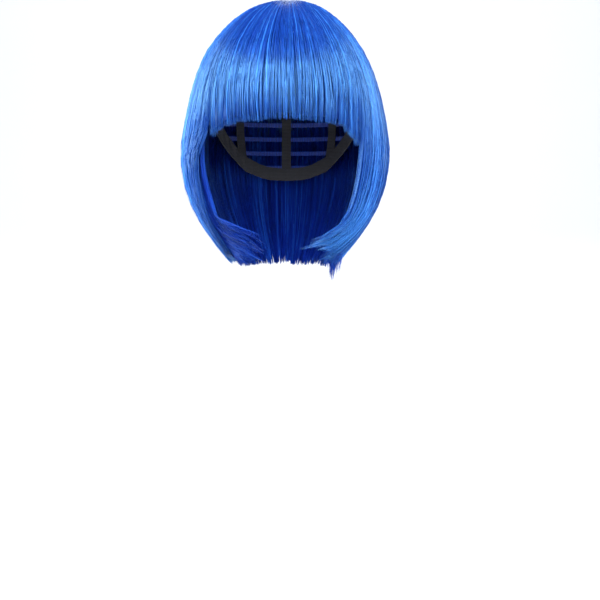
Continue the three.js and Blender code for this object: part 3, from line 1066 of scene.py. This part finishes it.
# %% Stitches
HEAD_TAPER = {"side": 0.1, "front": 0.1, "back": 0.55}
THREAD_RADIUS_MM = 0.35
THREAD_TONE = 0.5
TWIST_MM = 1.5
ZIGZAG_HEIGHT_MM = 2.4
BACK_AZIMUTH = 180
SEAM_LIFT_MM = 2.9
# Columns: height in millimetres, and reach to both sides of the middle of the back in degrees
SEWN_ROWS = [(-58, 116), (-72, 110), (-86, 102), (-100, 64), (-114, 46), (-128, 36), (-142, 25)]


def on_head(azimuth, height, lift):
    """Points that stand off the head by lift, at azimuths and heights."""
    rise = HEAD["height"]
    below = np.maximum(0, -rise - height) / rise
    dome = np.sqrt(1 - np.clip((height + rise) / rise, 0, 1) ** 2)
    level = np.where(below > 0, height, -rise + (height + rise) * (rise + lift) / rise)
    columns = [0 * level, 0 * level, level]
    for key in ("side", "front", "back"):
        columns.append(HEAD[key] * (1 - HEAD_TAPER[key] * below**2) + lift)
    points = oval_point(azimuth, np.stack(columns, -1), power=2)
    points[..., :2] *= np.where(below > 0, 1, dome)[..., None]
    return points


ROW_STATIONS = 140
across = np.linspace(-1, 1, ROW_STATIONS)
zigzag = np.where(np.arange(ROW_STATIONS) % 2, 0.5, -0.5) * ZIGZAG_HEIGHT_MM
lines = np.stack(
    [
        on_head(BACK_AZIMUTH + reach * across, height + zigzag, np.full(ROW_STATIONS, SEAM_LIFT_MM))
        for height, reach in SEWN_ROWS
    ]
)
outwards = lines - np.array([0, 0, -HEAD["height"]])
outwards /= np.linalg.norm(outwards, axis=-1, keepdims=True)
ones = np.ones(lines.shape[:2])
flow = np.stack([ones, ones * np.arange(ROW_STATIONS), ones], -1)
thread_mesh = strand_mesh("weft_stitches", lines, outwards, THREAD_RADIUS_MM * ones, THREAD_TONE * ones, flow)
stitches = bpy.data.objects.new("weft_stitches", thread_mesh)


def twist_pattern(tree, place):
    """Light and dark where the twisted plies turn."""
    twist = add_node(
        tree, "ShaderNodeTexNoise", inputs={"Vector": place, "Scale": 1 / (TWIST_MM * MM), "Detail": 1.0}
    )
    return twist.outputs["Fac"]


sewing_thread = cloth("polyester_thread", twist_pattern, "#0c1230", "#2c3a70", 0.6, 0.1)
finish_piece(stitches, sewing_thread)
print("rows of stitches:", len(SEWN_ROWS))

# %% [markdown]
# The wig is shown over a sheet of pale paper that runs back and curves up into a wall, so that no edge shows
# behind it. It is a grid whose far edge is drawn up and whose corner is bevelled round.

# %% Floor
FLOOR_Z = -0.546
WALL_Y = 2.2
WALL_HEIGHT = 5
PAPER_REACH = 3.5
BEND_RADIUS = 1.2
BEND_STEPS = 24

stage = bmesh.new()
bmesh.ops.create_grid(stage, x_segments=1, y_segments=1, size=PAPER_REACH)
far = [edge for edge in stage.edges if all(vert.co.y > 3 for vert in edge.verts)]
drawn_up = bmesh.ops.extrude_edge_only(stage, edges=far)
wall_corners = [item for item in drawn_up["geom"] if isinstance(item, bmesh.types.BMVert)]
bmesh.ops.translate(stage, verts=wall_corners, vec=(0, 0, WALL_HEIGHT))
bmesh.ops.translate(stage, verts=stage.verts[:], vec=(0, WALL_Y - PAPER_REACH, FLOOR_Z))
on_floor = [vert for vert in stage.verts if vert.co.z < FLOOR_Z + MM and vert.co.y > 1]
corner = [edge for edge in stage.edges if all(vert in on_floor for vert in edge.verts)]
bmesh.ops.bevel(
    stage,
    geom=corner,
    offset=BEND_RADIUS,
    offset_type="OFFSET",
    affect="EDGES",
    segments=BEND_STEPS,
    profile=0.5,
    material=-1,
)
sweep_mesh = bpy.data.meshes.new("sweep")
stage.to_mesh(sweep_mesh)
stage.free()
sweep = bpy.data.objects.new("sweep", sweep_mesh)
sweep_mesh.shade_smooth()
bpy.context.scene.collection.objects.link(sweep)
paper, tree, output = new_material("white_paper")
matt = add_node(tree, "ShaderNodeBsdfPrincipled", inputs={"Base Color": linear("#c8cbd0"), "Roughness": 0.9})
tree.links.new(matt.outputs["BSDF"], output.inputs["Surface"])
sweep_mesh.materials.append(paper)
print("paper faces:", len(sweep_mesh.polygons))

# %% [markdown]
# The light is a studio's, all from large soft boxes. The key stands high in front, and its upright size and
# height set where the bright band lies across the fringe. Two boxes at the front corners carry that band
# round the sides, and two at the sides light the hair beside the face. The wearer's right, at the left of
# the picture, gets more, as in the photograph. A low box lifts the curled ends, a weak one fills the back,
# and the last one lights only the paper.


# %% Light
LIGHT_AIM = Vector((0, -0.04, -0.08))
WORLD_BRIGHTNESS = 0.2
# Columns: azimuth, elevation, distance, width, height, brightness. Azimuth 90 is at the wearer's left.
SOFTBOXES = {
    "key": (0, 27, 1.2, 1.9, 1.12, 8.0),
    "key_left": (-72, 28, 1.3, 1.1, 1.05, 5.2),
    "key_right": (72, 29, 1.3, 1.1, 0.94, 3.3),
    "front_low": (0, -10, 2.0, 1.8, 0.7, 4.2),
    "left_light": (-92, 8, 1.3, 0.9, 1.0, 6.6),
    "right_light": (92, 8, 1.3, 0.9, 1.0, 3.3),
    "back_fill": (180, 26, 1.6, 2.2, 1.4, 1.3),
    "backdrop_light": (180, 60, 1.3, 2.5, 0.6, 4.6),
}


def softbox(name, azimuth, elevation, distance, width, height, brightness):
    """A rectangular soft light that faces the wig."""
    lamp = bpy.data.lights.new(name, "AREA")
    lamp.shape = "RECTANGLE"
    lamp.size, lamp.size_y = width, height
    lamp.energy = brightness * math.pi * width * height
    light = bpy.data.objects.new(name, lamp)
    turn = math.radians(azimuth)
    tilt = math.radians(elevation)
    way = Vector((math.sin(turn) * math.cos(tilt), -math.cos(turn) * math.cos(tilt), math.sin(tilt)))
    light.location = LIGHT_AIM + way * distance
    light.rotation_euler = way.to_track_quat("Z", "Y").to_euler()
    bpy.context.scene.collection.objects.link(light)
    return light


softboxes = {name: softbox(name, *columns) for name, columns in SOFTBOXES.items()}
softboxes["backdrop_light"].rotation_euler = Vector((0, -1, 0.4)).to_track_quat("Z", "Y").to_euler()

world = bpy.data.worlds.new("studio")
bpy.context.scene.world = world
world.use_nodes = True
world.node_tree.nodes["Background"].inputs["Color"].default_value = linear("#ffffff")
world.node_tree.nodes["Background"].inputs["Strength"].default_value = WORLD_BRIGHTNESS
print("soft boxes:", len(softboxes))
